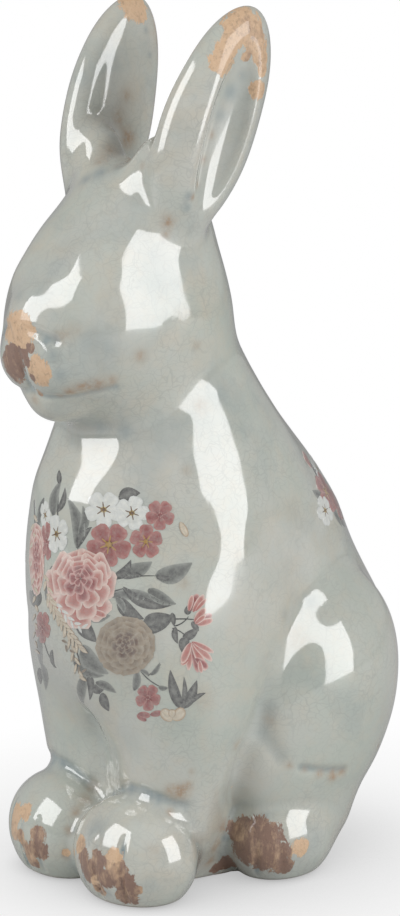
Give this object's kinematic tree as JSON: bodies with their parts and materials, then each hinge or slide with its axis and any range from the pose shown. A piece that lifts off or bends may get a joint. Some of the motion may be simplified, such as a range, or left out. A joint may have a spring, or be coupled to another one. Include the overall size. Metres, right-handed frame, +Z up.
{
  "type": "rabbit figurine",
  "caption": "Seated glazed ceramic rabbit figurine, hollow cast, with upright dished ears, round paws and a flat base; stands as an ornament.",
  "frame": {"origin": "centre of the bounding box at the plane it stands on", "axes": "+Z up to the ear tips; the rabbit looks along -Y and its left side is at +X"},
  "size_m": [0.1062, 0.164, 0.2997],
  "materials": {
    "glaze": "glossy crackled celadon glaze over stoneware",
    "bisque": "bare fired clay"
  },
  "bodies": {
    "root": {"base_slab": "bisque", "torso_shell": "glaze", "head_shell": "glaze", "ear_left": "glaze", "ear_right": "glaze", "forepaw_left": "glaze", "forepaw_right": "glaze", "hind_foot_left": "glaze", "hind_foot_right": "glaze", "tail": "glaze"}
  },
  "joints": []
}
